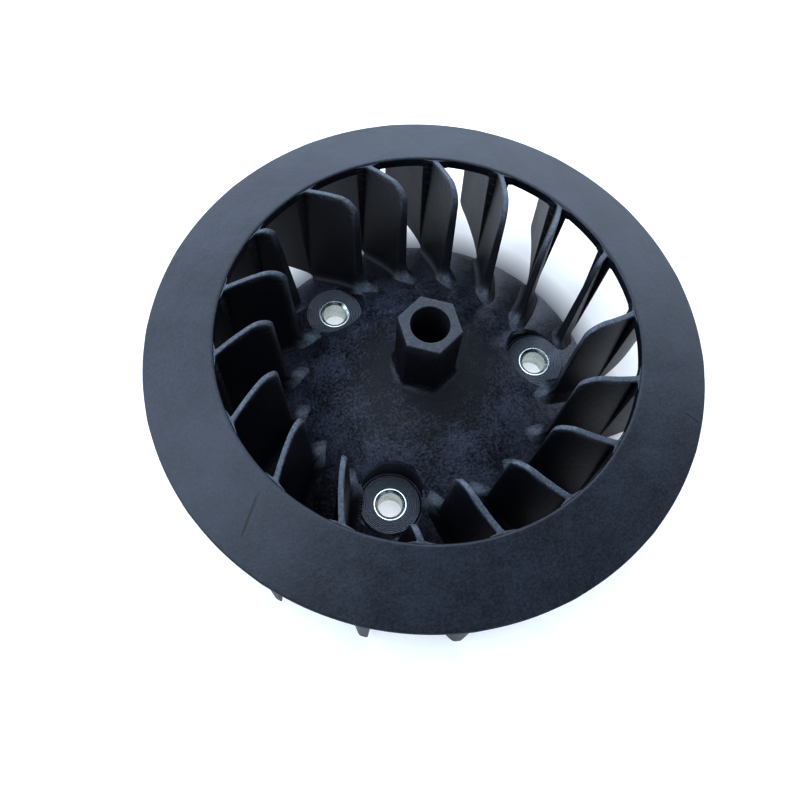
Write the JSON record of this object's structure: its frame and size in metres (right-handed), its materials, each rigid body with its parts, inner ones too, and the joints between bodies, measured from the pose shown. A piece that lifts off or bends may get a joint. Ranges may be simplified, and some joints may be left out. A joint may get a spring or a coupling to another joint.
{
  "type": "flywheel cooling fan",
  "caption": "Shrouded radial cooling fan that bolts to a small engine's flywheel: conical hub disc, curved blades under a flared ring, hexagonal nose and steel bolt collars.",
  "frame": {"origin": "on the spin axis, in the plane of the collars' back faces and the disc's rim, which rest on the flywheel", "axes": "+Z along the spin axis towards the air intake and the hexagonal nose; +X through the axis of collar_1"},
  "size_m": [0.14, 0.14, 0.0471],
  "materials": {
    "moulding": "satin black glass-filled nylon, faint mottle",
    "collar_steel": "bright zinc plate"
  },
  "bodies": {
    "root": {"hub_disc": "moulding", "hex_nose": "moulding", "shroud_ring": "moulding", "boss_1": "moulding", "boss_2": "moulding", "boss_3": "moulding", "blade_01": "moulding", "blade_02": "moulding", "blade_03": "moulding", "blade_04": "moulding", "blade_05": "moulding", "blade_06": "moulding", "blade_07": "moulding", "blade_08": "moulding", "blade_09": "moulding", "blade_10": "moulding", "blade_11": "moulding", "blade_12": "moulding", "blade_13": "moulding", "blade_14": "moulding", "blade_15": "moulding", "blade_16": "moulding", "blade_17": "moulding", "blade_18": "moulding", "collar_1": "collar_steel", "collar_2": "collar_steel", "collar_3": "collar_steel"}
  },
  "joints": []
}
